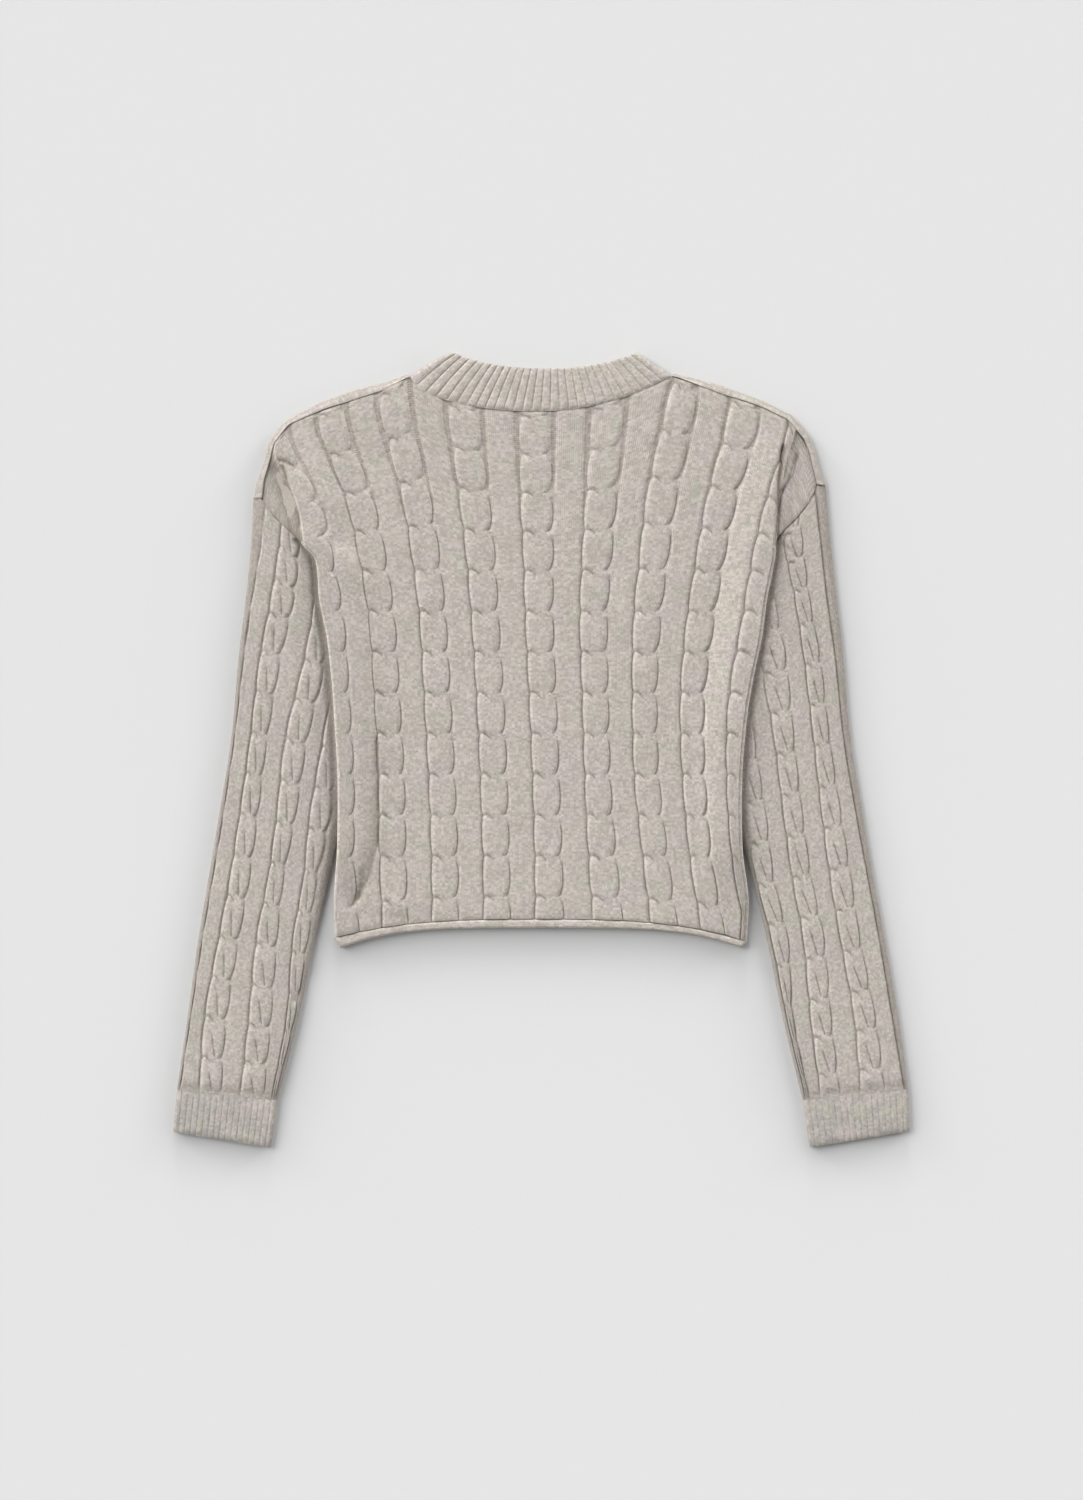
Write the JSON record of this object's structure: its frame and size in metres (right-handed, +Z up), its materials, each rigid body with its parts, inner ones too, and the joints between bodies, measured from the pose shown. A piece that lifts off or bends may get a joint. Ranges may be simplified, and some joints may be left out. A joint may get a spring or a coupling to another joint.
{
  "type": "sweater",
  "caption": "Cropped cable-knit sweater with drop shoulders, long sleeves, ribbed crew neckband and cuffs and a rolled hem, laid flat on its front with the sleeves angled down.",
  "frame": {"origin": "on the surface that the sweater lies on, under the middle of its outline", "axes": "+Z up from the surface, +Y from the hem to the neck, +X towards the wearer's right, because the back is up"},
  "size_m": [0.664, 0.716, 0.0133],
  "materials": {
    "cable_knit": "soft matt cable knit in a light greige heather yarn",
    "rib_knit": "soft matt fine rib knit in the same yarn"
  },
  "bodies": {
    "root": {"back_panel": "cable_knit", "front_panel": "cable_knit", "sleeve_left": "cable_knit", "sleeve_right": "cable_knit", "neckband": "rib_knit", "cuff_left": "rib_knit", "cuff_right": "rib_knit", "hem_band": "rib_knit"}
  },
  "joints": []
}
